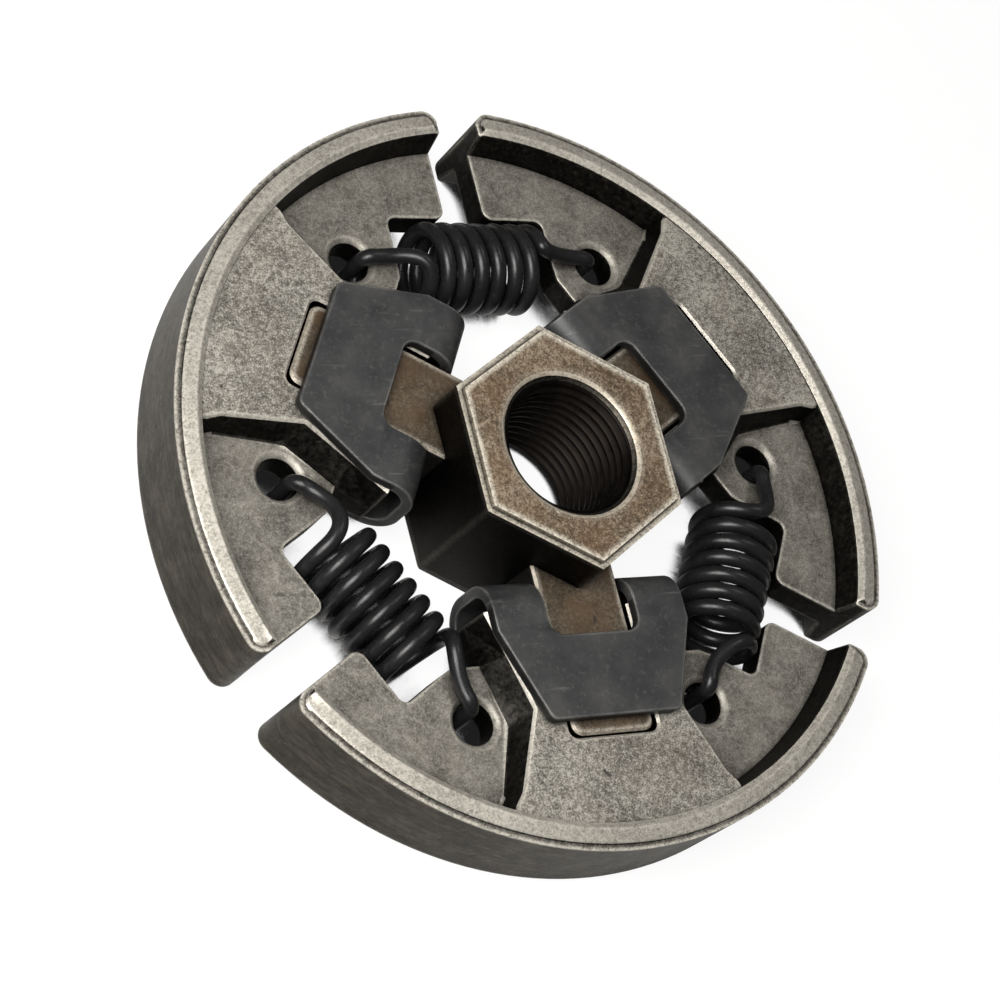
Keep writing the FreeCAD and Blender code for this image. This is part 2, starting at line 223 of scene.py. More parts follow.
shoeLook = {
    "name": "speckledShoeSteel", "metal": 0.5, "gloss": (0.46, 0.6), "bump": 0.45,
    "fine": (6200.0, 3.0, 0.6), "clumps": (2300.0, 3.0, 0.55, 0.4), "broad": (170.0, 3.0, 0.6),
    "fineShare": 0.6, "broadShare": 0.25,
    "skin": [(0.38, rgb(0.085, 0.079, 0.067)), (0.49, rgb(0.235, 0.222, 0.192)),
             (0.6, rgb(0.5, 0.478, 0.425))],
    "rustGrain": (140.0, 4.0, 0.65), "rust": rgb(0.2, 0.155, 0.108),
    "scuffGrain": (330.0, 2.0, 0.5, 1.2), "scuffShare": 0.3, "bright": rgb(0.58, 0.55, 0.485),
    "cloudGrain": (380.0, 4.0, 0.62, 0.5), "calm": 0.5,
    "cloud": [(0.36, rgb(0.105, 0.097, 0.082)), (0.64, rgb(0.41, 0.387, 0.336))],
    "pitGrain": (900.0, 1.0), "pit": rgb(0.035, 0.032, 0.028),
    "rubbed": [(0.36, rgb(0.013, 0.0114, 0.0088)), (0.5, rgb(0.03, 0.0263, 0.02)),
               (0.66, rgb(0.064, 0.057, 0.044))],
    "black": rgb(0.008, 0.0078, 0.0072), "oxideKeep": 0.6,
    "edge": rgb(0.78, 0.74, 0.65), "wear": 0.95, "wearWidth": 0.00035, "wearRange": (0.96, 0.7),
    "creaseWidth": 0.0006, "creaseShadeDepth": 0.3, "nookReach": 0.0035, "nookShadeDepth": 0.2,
}
carrierLook = {
    "name": "bronzeBrownSteel", "metal": 0.5, "gloss": (0.46, 0.6), "bump": 0.4,
    "fine": (6200.0, 3.0, 0.6), "clumps": (2600.0, 3.0, 0.55, 0.4), "broad": (210.0, 3.0, 0.6),
    "fineShare": 0.6, "broadShare": 0.25,
    "skin": [(0.38, rgb(0.07, 0.049, 0.03)), (0.49, rgb(0.16, 0.119, 0.079)),
             (0.61, rgb(0.37, 0.298, 0.212))],
    "rustGrain": (260.0, 4.0, 0.65), "rust": rgb(0.19, 0.1, 0.045),
    "scuffGrain": (420.0, 2.0, 0.5, 1.2), "scuffShare": 0.2, "bright": rgb(0.68, 0.62, 0.51),
    "cloudGrain": (480.0, 4.0, 0.62, 0.5), "calm": 0.35,
    "cloud": [(0.34, rgb(0.11, 0.082, 0.055)), (0.66, rgb(0.27, 0.215, 0.15))],
    "pitGrain": (700.0, 1.0), "pit": rgb(0.02, 0.017, 0.014),
    "rubbed": [(0.38, rgb(0.008, 0.0075, 0.007)), (0.66, rgb(0.04, 0.036, 0.03))],
    "black": rgb(0.004, 0.004, 0.0045), "oxideKeep": 0.85,
    "edge": rgb(0.86, 0.8, 0.68), "wear": 0.95, "wearWidth": 0.0006, "wearRange": (0.99, 0.82),
    "creaseWidth": 0.0005, "creaseShadeDepth": 0.12, "nookReach": 0.0035, "nookShadeDepth": 0.2,
}


# black sheet: satin, with hair scratches, dust and a trace of rust

def blackSheet(look):
    material, tree, surface, place = startMaterial(look["name"])
    cloud = grains(tree, place, *look["cloudGrain"])
    dust = grains(tree, place, *look["dustGrain"])
    skin = ladder(tree, cloud, look["skin"])
    dusty = times(tree, span(tree, dust, *look["dustRange"]), look["dustShare"])
    skin = tint(tree, dusty, skin, look["dust"])
    hairs = None
    for turn, along in look["hairs"]:  # long thin streaks, one set for each direction
        lay = put(tree, "Mapping", {"Vector": place, "Rotation": (0.0, 0.0, turn),
                                    "Scale": (along, *look["hairScale"])}).outputs[0]
        streak = span(tree, grains(tree, lay, *look["hairGrain"]), *look["hairRange"])
        hairs = streak if hairs is None else calc(tree, "MAXIMUM", hairs, streak)
    hairs = times(tree, hairs, span(tree, grains(tree, place, *look["hairArea"]),
                                    *look["hairAreaRange"]))
    skin = tint(tree, times(tree, hairs, look["hairShare"]), skin, look["hair"])
    rust = span(tree, grains(tree, place, *look["rustGrain"]), *look["rustRange"])
    skin = tint(tree, times(tree, rust, look["rustShare"]), skin, look["rust"])
    # painted shade on the cut walls
    skin = shaded(tree, skin, span(tree, mark(tree, "cut"), 0.0, 1.0, 1.0, look["cutWallShade"]))
    inside = openness(tree, look["wearWidth"], look["wearSamples"], inside=True, only_local=True)
    corner = times(tree, span(tree, inside, *look["wearRange"]),
                   span(tree, cloud, *look["wearGrain"]))
    skin = tint(tree, times(tree, corner, look["wear"]), skin, look["edge"])
    # painted shade where the sheet lies close to other faces
    nookShade = openness(tree, look["nookReach"], look["nookSamples"])
    skin = shaded(tree, skin, span(tree, nookShade, *look["nookRange"]))
    gloss = span(tree, cloud, *look["glossRange"], *look["gloss"])
    soft = put(tree, "Bevel", {"Radius": look["softEdge"]}, samples=look["softSamples"]).outputs[0]
    height = calc(tree, "ADD", times(tree, dust, look["dustHeight"]),
                  times(tree, hairs, look["hairHeight"]))
    bump = put(tree, "Bump", {"Strength": look["bump"], "Distance": look["bumpDepth"],
                              "Height": height, "Normal": soft}).outputs[0]
    surface.inputs["Metallic"].default_value = look["metal"]
    join(tree, surface, **{"Base Color": skin, "Roughness": gloss, "Normal": bump})
    return material


sheetLook = {
    "name": "blackenedSheet", "metal": 0.4, "gloss": (0.4, 0.56), "glossRange": (0.3, 0.7),
    "cloudGrain": (210.0, 4.0, 0.6),
    "skin": [(0.36, rgb(0.029, 0.03, 0.031)), (0.52, rgb(0.045, 0.046, 0.047)),
             (0.68, rgb(0.073, 0.072, 0.069))],
    "dustGrain": (2600.0, 2.0, 0.6), "dustRange": (0.56, 0.74), "dustShare": 0.4,
    "dust": rgb(0.12, 0.118, 0.112),
    "hairs": [(0.5, 160.0), (-0.7, 200.0), (1.3, 140.0)], "hairScale": (2600.0, 300.0),
    "hairGrain": (1.0, 1.0), "hairRange": (0.7, 0.8), "hairArea": (260.0, 2.0),
    "hairAreaRange": (0.45, 0.62), "hairShare": 0.32, "hair": rgb(0.22, 0.215, 0.2),
    "rustGrain": (420.0, 5.0, 0.7), "rustRange": (0.66, 0.72), "rustShare": 0.45,
    "rust": rgb(0.11, 0.062, 0.032), "cutWallShade": 0.22,
    "edge": rgb(0.34, 0.335, 0.32), "wear": 0.7, "wearWidth": 0.0003, "wearSamples": 6,
    "wearRange": (0.85, 0.6), "wearGrain": (0.38, 0.58, 0.25, 1.0),
    "nookReach": 0.003, "nookSamples": 4, "nookRange": (0.15, 0.75, 0.2, 1.0),
    "softEdge": 0.00012, "softSamples": 6, "bump": 0.25, "bumpDepth": 0.00004,
    "dustHeight": 0.5, "hairHeight": -0.6,
}


# oiled spring wire: near black, glossy, faint draw marks along the wire

def springWire(look):
    material, tree, surface, place = startMaterial(look["name"])
    film = grains(tree, place, *look["filmGrain"])
    lay = put(tree, "Mapping", {"Vector": put(tree, "UVMap").outputs[0],
                                "Scale": look["drawScale"]}).outputs[0]
    drawn = grains(tree, lay, *look["drawGrain"])
    skin = ladder(tree, film, look["skin"])
    grit = span(tree, grains(tree, place, *look["gritGrain"]), *look["gritRange"])
    skin = tint(tree, times(tree, grit, look["gritShare"]), skin, look["grit"])
    gloss = span(tree, drawn, *look["glossRange"], *look["gloss"])
    bump = put(tree, "Bump", {"Strength": look["bump"], "Distance": look["bumpDepth"],
                              "Height": drawn}).outputs[0]
    surface.inputs["Metallic"].default_value = look["metal"]
    surface.inputs["Specular IOR Level"].default_value = look["shine"]
    join(tree, surface, **{"Base Color": skin, "Roughness": gloss, "Normal": bump})
    return material


wireLook = {
    "name": "oiledSpringWire", "metal": 0.0, "shine": 0.32,
    "gloss": (0.24, 0.4), "glossRange": (0.3, 0.7), "filmGrain": (420.0, 3.0, 0.6),
    "skin": [(0.3, rgb(0.006, 0.006, 0.007)), (0.7, rgb(0.013, 0.013, 0.014))],
    "drawScale": (90.0, 14.0, 1.0), "drawGrain": (1.0, 3.0, 0.6), "bump": 0.12,
    "bumpDepth": 0.00003, "gritGrain": (3000.0, 2.0), "gritRange": (0.68, 0.76),
    "gritShare": 0.35, "grit": rgb(0.06, 0.058, 0.055),
}


# thread in the bore: dark, with the crests rubbed brown

def threadSteel(look):
    material, tree, surface, place = startMaterial(look["name"])
    film = grains(tree, place, *look["filmGrain"])
    rub = times(tree, mark(tree, "crest"), span(tree, film, *look["rubRange"]))
    skin = tint(tree, rub, ladder(tree, film, look["skin"]), look["crest"])
    gloss = span(tree, film, *look["glossRange"], *look["gloss"])
    bump = put(tree, "Bump", {"Strength": look["bump"], "Distance": look["bumpDepth"],
                              "Height": film}).outputs[0]
    surface.inputs["Metallic"].default_value = look["metal"]
    join(tree, surface, **{"Base Color": skin, "Roughness": gloss, "Normal": bump})
    return material


threadLook = {
    "name": "darkThread", "metal": 0.95, "gloss": (0.42, 0.6), "glossRange": (0.3, 0.7),
    "filmGrain": (900.0, 3.0, 0.6), "rubRange": (0.3, 0.6, 0.4, 1.0),
    "skin": [(0.3, rgb(0.002, 0.002, 0.002)), (0.7, rgb(0.006, 0.005, 0.0045))],
    "crest": rgb(0.014, 0.011, 0.009), "bump": 0.25, "bumpDepth": 0.00004,
}

shoeSteel = pressedSteel(shoeLook)
carrierSteel = pressedSteel(carrierLook)
sheetBlack = blackSheet(sheetLook)
wireBlack = springWire(wireLook)
threadDark = threadSteel(threadLook)
print("finishes made")


# shells of the pressed and bent pieces: the solid's own faces, joined up and smoothed

joinSet = {"weld": 0.0005, "sliver": 0.0002, "flat": 0.3, "ringSlack": 0.1}  # mm and degrees


def joinedShell(node, name, look, turn, move=None):
    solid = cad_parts[node].data.copy()
    if move:
        movedPoints(solid, turn, move)
    shell = bmesh.new()
    shell.from_mesh(solid)
    bpy.data.meshes.remove(solid)
    bmesh.ops.scale(shell, vec=[perMetre] * 3, verts=shell.verts)  # bevels need millimetres
    bmesh.ops.remove_doubles(shell, verts=shell.verts, dist=joinSet["weld"])
    bmesh.ops.dissolve_degenerate(shell, edges=shell.edges, dist=joinSet["sliver"])
    bmesh.ops.dissolve_limit(shell, angle_limit=np.radians(joinSet["flat"]),
                             verts=shell.verts, edges=shell.edges)
    shell.normal_update()
    for bevel in look["bevels"]:
        picked = [edge for edge in shell.edges if bevelled(edge, bevel, turn)]
        bmesh.ops.bevel(shell, geom=picked, offset=bevel["width"], segments=bevel["steps"],
                        profile=bevel.get("profile", 0.5), affect="EDGES", clamp_overlap=False,
                        loop_slide=bevel.get("slide", True))
        shell.normal_update()
    bmesh.ops.triangulate(shell, faces=[face for face in shell.faces if len(face.verts) > 4])
    sharp = np.radians(look["sharp"])
    for face in shell.faces:
        face.smooth = True
    for edge in shell.edges:
        edge.smooth = len(edge.link_faces) == 2 and bool(edge.calc_face_angle(0.0) < sharp)
    bmesh.ops.scale(shell, vec=[mm] * 3, verts=shell.verts)
    mesh = bpy.data.meshes.new(name)
    shell.to_mesh(mesh)
    shell.free()
    piece = bpy.data.objects.new(name, mesh)
    bpy.context.scene.collection.objects.link(piece)
    even = piece.modifiers.new("even", "WEIGHTED_NORMAL")  # keeps flats flat beside rounded edges
    even.keep_sharp = True
    return piece


def bevelled(edge, bevel, turn):
    # an outside or inside corner, steep enough, in the bevel's own range
    if len(edge.link_faces) != 2:
        return False
    bent = edge.calc_face_angle_signed(0.0) * (-1.0 if bevel.get("inside") else 1.0)
    if bent < np.radians(bevel["steeper"]):
        return False
    middle = (edge.verts[0].co + edge.verts[1].co) / 2
    x, y = Matrix.Rotation(np.radians(-turn), 2) @ middle.xy
    if not bevel["low"] <= middle.z <= bevel["high"]:
        return False
    if "rings" not in bevel:
        near = np.hypot(x - bevel["about"], y) < bevel["within"]
        return near and x > bevel.get("beyond", -np.inf)
    return any(abs(np.hypot(x - ringX, y - ringY) - radius) < joinSet["ringSlack"]
               for ringX, ringY, radius in bevel["rings"])


def spun(turn):  # matrix of a turn about the crank axis, degrees
    cosine, sine = np.cos(np.radians(turn)), np.sin(np.radians(turn))
    return np.array([[cosine, -sine, 0.0], [sine, cosine, 0.0], [0.0, 0.0, 1.0]])


def faceTable(mesh, turn):
    # middles in mm and normals of all faces, turned so that the arm lies along x
    count = len(mesh.polygons)
    middle = np.empty(count * 3)
    normal = np.empty(count * 3)
    mesh.polygons.foreach_get("center", middle)
    mesh.polygons.foreach_get("normal", normal)
    spin = spun(-turn)
    return middle.reshape(-1, 3) @ spin.T * perMetre, normal.reshape(-1, 3) @ spin.T


def movedPoints(mesh, turn, move):
    # runs the points, in mm with the arm along x, through a function
    place = np.empty(len(mesh.vertices) * 3)
    mesh.vertices.foreach_get("co", place)
    spin = spun(-turn)
    place = move(place.reshape(-1, 3) @ spin.T * perMetre)
    mesh.vertices.foreach_set("co", (place @ spin * mm).ravel())
    mesh.update()


def keepMark(mesh, name, values):
    layer = mesh.attributes.new(name, "FLOAT", "FACE")
    layer.data.foreach_set("value", np.asarray(values, np.float32))


# shoes; a tilt is how much a face looks up or down, 1 when it is level

shoeShell = {
    "sharp": 33.0, "rimCentre": -1.5, "rimWall": 33.3, "rimInside": 29.5,
    "plateFront": 6.05, "middleFront": 8.0,
    "wallTilt": 0.45, "flatTilt": 0.95, "riserTilt": 0.75, "flankTilt": (0.74, 0.97),
    "landRubbed": 0.5, "riserOxide": 0.8, "facePolish": 0.62, "middlePolish": 0.8,
    "slantPolish": 0.3, "plateShadeTone": 0.74, "rust": 0.16,
    "bevels": [
        # mouths of the hooks' holes
        {"width": 0.62, "steps": 4, "profile": 0.38, "slide": False, "steeper": 60.0,
         "low": 5.9, "high": 6.1, "rings": [(20.849, 11.276, 1.75), (20.849, -11.276, 1.75)]},
        # hollow at the foot of the raised middle
        {"width": 0.38, "steps": 3, "steeper": 20.0, "low": 5.95, "high": 6.05,
         "about": -1.5, "within": 31.3, "inside": True, "beyond": 22.0},
        # edges of the rim's front, then the other outside edges
        {"width": 0.11, "steps": 3, "steeper": 30.0, "low": 8.57, "high": 9.0,
         "about": -1.5, "within": 40.0},
        {"width": 0.14, "steps": 3, "steeper": 62.0, "low": 0.5, "high": 8.5,
         "about": -1.5, "within": 33.4},
    ],
}
rimLand = {
    "height": 8.45, "foot": 34.43, "newFoot": 34.2, "front": 8.85, "frontEdge": 34.03,
    "drop": 0.24, "corner": (18.998, 26.306), "cornerBearing": 52.08,
    "cornerFoot": 1.08, "newCornerFoot": 0.85, "cornerEdge": 0.68,
    "cornerHalf": 0.88, "newCornerHalf": 0.765, "halfHeight": 8.65, "newHalfHeight": 8.53,
    "levelSlack": 0.02, "slack": 0.03,
}


def widenRimLand(place):
    # the step round the rim's front gets wider, and the front falls off outwards; at a rim's
    # rounded corner the same is done about the corner's own centre
    r = rimLand
    x, y, z = place.T
    rimX = x - shoeShell["rimCentre"]
    reach = np.hypot(rimX, y)
    cornerX, cornerY = x - r["corner"][0], y - np.sign(y) * r["corner"][1]
    bend = np.hypot(cornerX, cornerY)
    atCorner = np.degrees(np.arctan2(np.abs(y), rimX)) > r["cornerBearing"]
    onLand = np.abs(z - r["height"]) < r["levelSlack"]
    onFront = np.abs(z - r["front"]) < r["levelSlack"]
    onHalf = atCorner & (np.abs(z - r["halfHeight"]) < r["levelSlack"])
    onHalf &= np.abs(bend - r["cornerHalf"]) < r["slack"]
    foot = onLand & ~atCorner & (np.abs(reach - r["foot"]) < r["slack"])
    cornerFoot = onLand & atCorner & (np.abs(bend - r["cornerFoot"]) < r["slack"])
    offEdge = np.where(atCorner, np.abs(bend - r["cornerEdge"]), np.abs(reach - r["frontEdge"]))
    edge = onFront & (offEdge < r["slack"])
    grow = np.where(foot, r["newFoot"] / r["foot"] - 1.0, 0.0)
    cornerGrow = np.where(cornerFoot, r["newCornerFoot"] / r["cornerFoot"] - 1.0, 0.0)
    cornerGrow = np.where(onHalf, r["newCornerHalf"] / r["cornerHalf"] - 1.0, cornerGrow)
    height = np.where(edge, z - r["drop"], np.where(onHalf, r["newHalfHeight"], z))
    return np.column_stack([x + rimX * grow + cornerX * cornerGrow,
                            y + y * grow + cornerY * cornerGrow, height])


def markShoe(mesh, turn):  # says which faces are rubbed, black, polished or darkened by painted shade
    s = shoeShell
    middle, normal = faceTable(mesh, turn)
    tilt = np.abs(normal[:, 2])
    height = middle[:, 2]
    reach = np.hypot(middle[:, 0] - s["rimCentre"], middle[:, 1])
    wall = tilt < s["wallTilt"]
    slant = ~wall & (tilt < s["flatTilt"])
    rubbed = wall & (reach > s["rimWall"])
    land = ~wall & ~slant & (np.abs(height - rimLand["height"]) < rimLand["slack"])
    rimFace = ~wall & ~land & (height > rimLand["height"] + rimLand["slack"])
    riser = rimFace & (tilt < s["riserTilt"]) & (reach > s["rimInside"])
    raised = height > s["middleFront"]
    flank = slant & ~raised & (height > s["plateFront"]) & (reach < s["rimInside"])
    steep = np.interp(tilt, s["flankTilt"], [1.0, 0.0])
    keepMark(mesh, "rubbed", np.select([rubbed, land], [1.0, s["landRubbed"]], 0.0))
    keepMark(mesh, "oxide", np.select([wall & ~rubbed, flank, riser],
                                      [1.0, steep, s["riserOxide"]], 0.0))
    keepMark(mesh, "polish", np.select(
        [riser, rimFace, slant & raised, slant],
        [0.0, s["facePolish"], s["middlePolish"], s["slantPolish"]], 0.0))
    # painted shade: the faces below the raised middle are kept darker
    keepMark(mesh, "shadeTone", np.where(raised, 1.0, s["plateShadeTone"]))
    keepMark(mesh, "rust", np.full(len(middle), s["rust"]))


retainerShell = {
    "sharp": 33.0, "wallTilt": 0.45, "bendEnd": 12.5,
    "bevels": [{"width": 0.12, "steps": 3, "steeper": 62.0, "low": 0.0, "high": 13.0,
                "about": 0.0, "within": 40.0}],
}


def markRetainer(mesh, turn):  # painted shade: the cut walls beyond the bend are kept darker than the sheet
    middle, normal = faceTable(mesh, turn)
    wall = np.abs(normal[:, 2]) < retainerShell["wallTilt"]
    keepMark(mesh, "cut", np.where(wall & (middle[:, 0] > retainerShell["bendEnd"]), 1.0, 0.0))


for letter, turn in shoeTurn.items():
    piece = joinedShell("shoe_" + letter, "shoe_" + letter + "_finished", shoeShell, turn,
                        widenRimLand)
    markShoe(piece.data, turn)
    piece.data.materials.append(shoeSteel)
    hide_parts("shoe_" + letter)
    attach(piece, "shoe_" + letter)

    piece = joinedShell("retainer_" + letter, "retainer_" + letter + "_finished",
                        retainerShell, turn)
    markRetainer(piece.data, turn)
    piece.data.materials.append(sheetBlack)
    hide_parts("retainer_" + letter)
    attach(piece, "shoe_" + letter)
print("shoes and retainers joined")


# carrier: hub and arms

carrierShell = {
    "sharp": 28.0, "hubFront": 12.7, "hubBack": 0.1, "hubEnds": (0.6, 12.2),
    "mouth": 6.32, "mouthEdge": 7.2, "wallTilt": 0.4, "flatTilt": 0.95,
    "landRubbed": 0.5, "browOxide": 0.7, "mouthPolish": 0.6, "slantPolish": 0.15,
    "armShadeTone": 0.54, "hubRust": 0.35, "armRust": 0.85,
    "bevels": [{"width": 0.3, "steps": 3, "steeper": 30.0, "low": 12.7, "high": 12.9,
                "rings": [(0.0, 0.0, 6.5)]}],  # edge of the bore's mouth
}
hubLand = {"hub": 12.8, "depth": 0.45, "foot": 9.3, "newDepth": 0.33, "newFoot": 9.07,
           "levelSlack": 0.02, "slack": 0.1, "flats": (0.0, 60.0, 120.0)}


def hexReach(x, y):  # distance from the axis, measured square to the nearest flat of the hexagon
    ways = np.radians(hubLand["flats"])
    return np.abs(np.outer(x, np.cos(ways)) + np.outer(y, np.sin(ways))).max(axis=1)


def widenHubLand(place):  # the step round each end of the hub gets wider and shallower
    h = hubLand
    far = hexReach(place[:, 0], place[:, 1])
    down = np.minimum(place[:, 2], h["hub"] - place[:, 2])
    onStep = (np.abs(down - h["depth"]) < h["levelSlack"]) & (far > h["foot"] - h["slack"])
    atFoot = onStep & (far < h["foot"] + h["slack"])
    lift = np.where(place[:, 2] > h["hub"] / 2, 1.0, -1.0) * (h["depth"] - h["newDepth"])
    grow = np.where(atFoot, h["newFoot"] / h["foot"], 1.0)[:, None]
    return np.column_stack([place[:, :2] * grow, place[:, 2] + np.where(onStep, lift, 0.0)])


def markCarrier(mesh):  # the arms get painted shade and are rustier than the hub's ends
    c = carrierShell
    middle, normal = faceTable(mesh, 0.0)
    tilt = np.abs(normal[:, 2])
    height = middle[:, 2]
    far = hexReach(middle[:, 0], middle[:, 1])
    onEnd = (height < c["hubEnds"][0]) | (height > c["hubEnds"][1])
    turned = tilt < c["flatTilt"]
    mouth = turned & (np.hypot(middle[:, 0], middle[:, 1]) < c["mouth"])
    ringEdge = onEnd & ~mouth & turned & (far < c["mouthEdge"])
    brow = onEnd & ~mouth & ~ringEdge & turned & (far < hubLand["foot"])
    wall = (tilt < c["wallTilt"]) & ~brow
    slant = ~wall & turned
    onFace = ~slant & ~wall & ((height > c["hubFront"]) | (height < c["hubBack"]))
    land = onEnd & ~slant & ~wall & ~onFace
    keepMark(mesh, "rubbed", np.where(land, c["landRubbed"], 0.0))
    keepMark(mesh, "oxide", np.select([wall | mouth, brow], [1.0, c["browOxide"]], 0.0))
    keepMark(mesh, "polish", np.select([ringEdge, slant & ~mouth & ~brow],
                                       [c["mouthPolish"], c["slantPolish"]], 0.0))
    # painted shade: the arms and the hub's sides are kept darker than the hub's ends
    keepMark(mesh, "shadeTone", np.where(onEnd, 1.0, c["armShadeTone"]))
    keepMark(mesh, "rust", np.where(onEnd, c["hubRust"], c["armRust"]))


piece = joinedShell("carrier", "carrier_finished", carrierShell, 0.0, widenHubLand)
markCarrier(piece.data)
piece.data.materials.append(carrierSteel)
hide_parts("carrier")
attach(piece, "carrier")
print("carrier joined")


# surfaces from grids of points

def gridPiece(name, points, wrapRows, capEnds, material):
    # points is (rows, columns, 3) in millimetres; columns close on themselves, and rows too
    # where wrapRows says so
    rows, columns = points.shape[:2]
    index = np.arange(rows * columns).reshape(rows, columns)
    nextColumn = np.roll(index, -1, axis=1)
    quads = np.stack([index, nextColumn, np.roll(nextColumn, -1, axis=0),
                      np.roll(index, -1, axis=0)], axis=-1)
    if not wrapRows:
        quads = quads[:-1]
    faces = quads.reshape(-1, 4).tolist()
    if capEnds:
        faces += [index[0, ::-1].tolist(), index[-1].tolist()]
    mesh = bpy.data.meshes.new(name)
    mesh.from_pydata((points.reshape(-1, 3) * mm).tolist(), [], faces)
    mesh.polygons.foreach_set("use_smooth", np.ones(len(mesh.polygons), bool))
    mesh.materials.append(material)
    mesh.update()
    piece = bpy.data.objects.new(name, mesh)
    bpy.context.scene.collection.objects.link(piece)
    return piece


# springs: round wire carried along a line of hook, coil and hook

springSet = {
    "reach": 20.19, "height": 4.75, "coilRadius": 3.35, "wireRadius": 0.67, "halfLength": 5.7372,
    "holeDistance": 12.4172, "holePlay": 0.94, "rise": 2.06, "bend": 1.0, "legEnd": -2.4,
    "lead": 2.5, "stepsTurn": 48, "stepsHook": 36, "stepsBend": 14, "stepsLeg": 12, "sides": 24,
    "guide": (0.31, 0.42, 0.85),
    "endWidth": (0.35, 0.75, 0.94), "endPush": (1.0, 0.7, 0.35), "endReach": 0.45,
}
springFit = {
    "spring_ab": {"first": "shoe_a", "turn": 0.0, "start": 140.0, "turns": 6.82,
                  "lean": (0.0, 5.0), "pull": (3.3, 1.0)},
    "spring_bc": {"first": "shoe_b", "turn": -120.0, "start": 115.0, "turns": 6.76,
                  "lean": (20.0, -10.0), "pull": (3.3, 3.3)},
    "spring_ca": {"first": "shoe_c", "turn": -240.0, "start": 160.0, "turns": 6.72,
                  "lean": (-10.0, -25.0), "pull": (3.3, 3.3)},
}


def hookLine(start, way, side, lean, pull):
    # a cubic curve off the end of the coil, a quarter circle down, and a straight leg
    s = springSet
    turn = np.radians(lean)
    out = np.array([side * np.cos(turn), -np.sin(turn), 0.0])
    up = np.array([0.0, 0.0, 1.0])
    leg = np.array([side * s["holeDistance"], 0.0, 0.0]) - out * s["holePlay"]
    bendStart = leg - out * s["bend"] + up * s["rise"]
    t = np.linspace(0.0, 1.0, s["stepsHook"] + 1)[1:, None]
    control = [start, start + way * pull, bendStart - out * s["lead"], bendStart]
    curve = (1 - t) ** 3 * control[0] + 3 * t * (1 - t) ** 2 * control[1]
    curve = curve + 3 * t * t * (1 - t) * control[2] + t ** 3 * control[3]
    angle = np.linspace(0.0, np.pi / 2, s["stepsBend"] + 1)[1:, None]
    arc = bendStart + out * s["bend"] * np.sin(angle) + up * s["bend"] * (np.cos(angle) - 1)
    drop = np.linspace(arc[-1, 2], s["legEnd"], s["stepsLeg"] + 1)[1:, None]
    straight = leg * np.array([1.0, 1.0, 0.0]) + drop * up
    return np.vstack([curve, arc, straight])


def springLine(fit):
    # the coil is a helix about x: a circle of the coil's radius, moved along evenly
    s = springSet
    share = np.linspace(0.0, 1.0, int(fit["turns"] * s["stepsTurn"]) + 1)
    angle = np.radians(fit["start"]) + 2 * np.pi * fit["turns"] * share
    x = s["halfLength"] * (2 * share - 1)
    coil = np.stack([x, s["coilRadius"] * np.cos(angle), s["coilRadius"] * np.sin(angle)], axis=1)
    rate = 2 * s["halfLength"] / (2 * np.pi * fit["turns"])
    way = np.stack([np.full_like(x, rate), -coil[:, 2], coil[:, 1]], axis=1)
    way /= np.linalg.norm(way, axis=1, keepdims=True)
    first = hookLine(coil[0], -way[0], -1.0, fit["lean"][0], fit["pull"][0])
    last = hookLine(coil[-1], way[-1], 1.0, fit["lean"][1], fit["pull"][1])
    return np.vstack([first[::-1], coil, last])


def roundWire(line):
    # circles across the line; the frame is untwisted by summing its turn from point to point
    s = springSet
    radius = s["wireRadius"]
    way = np.gradient(line, axis=0)
    way /= np.linalg.norm(way, axis=1, keepdims=True)
    across = np.cross(way, s["guide"])
    across /= np.linalg.norm(across, axis=1, keepdims=True)
    other = np.cross(way, across)
    carried = across[:-1] - way[1:] * np.sum(across[:-1] * way[1:], axis=1, keepdims=True)
    twist = np.arctan2(np.sum(carried * other[1:], axis=1), np.sum(carried * across[1:], axis=1))
    twist = np.concatenate([[0.0], np.cumsum(twist)])[:, None, None]
    angle = np.linspace(0.0, 2 * np.pi, s["sides"], endpoint=False)[None, :, None] + twist
    ring = np.cos(angle) * across[:, None] + np.sin(angle) * other[:, None]
    # rounded ends: the radius closes over a few more rings, which lie further out along the line
    width = np.array(s["endWidth"])[:, None, None] * radius
    push = np.array(s["endPush"])[:, None, None] * radius * s["endReach"]
    head = line[0] - way[0] * push + ring[0] * width
    tail = line[-1] + way[-1] * push[::-1] + ring[-1] * width[::-1]
    return np.concatenate([head, line[:, None] + ring * radius, tail])


def wireMap(mesh, rows, columns, turns):  # u runs along the wire, v round it
    layer = mesh.uv_layers.new(name="wire")
    corner = np.empty(len(mesh.loops), np.int32)
    mesh.loops.foreach_get("vertex_index", corner)
    u = (corner // columns) / (rows - 1) * turns
    v = (corner % columns) / columns
    layer.data.foreach_set("uv", np.stack([u, v], axis=1).astype(np.float32).ravel())


for name, fit in springFit.items():
    points = roundWire(springLine(fit))
    spin = spun(fit["turn"])
    shift = np.array([0.0, springSet["reach"], springSet["height"]])
    piece = gridPiece(name + "_wire", (points + shift) @ spin.T, False, True, wireBlack)
    wireMap(piece.data, points.shape[0], points.shape[1], fit["turns"])
    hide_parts(name)
    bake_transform(piece)
print("springs wound")


# thread: a ring whose inner wall rises and falls with height plus turn, left-handed

threadSet = {"pitch": 1.0, "crest": 5.46, "root": 5.97, "back": 5.985, "low": 0.55, "high": 12.25,
             "crestFlat": 0.25, "flank": 0.625, "mouth": 6.5, "hubLength": 12.8,
             "rows": 330, "columns": 144}


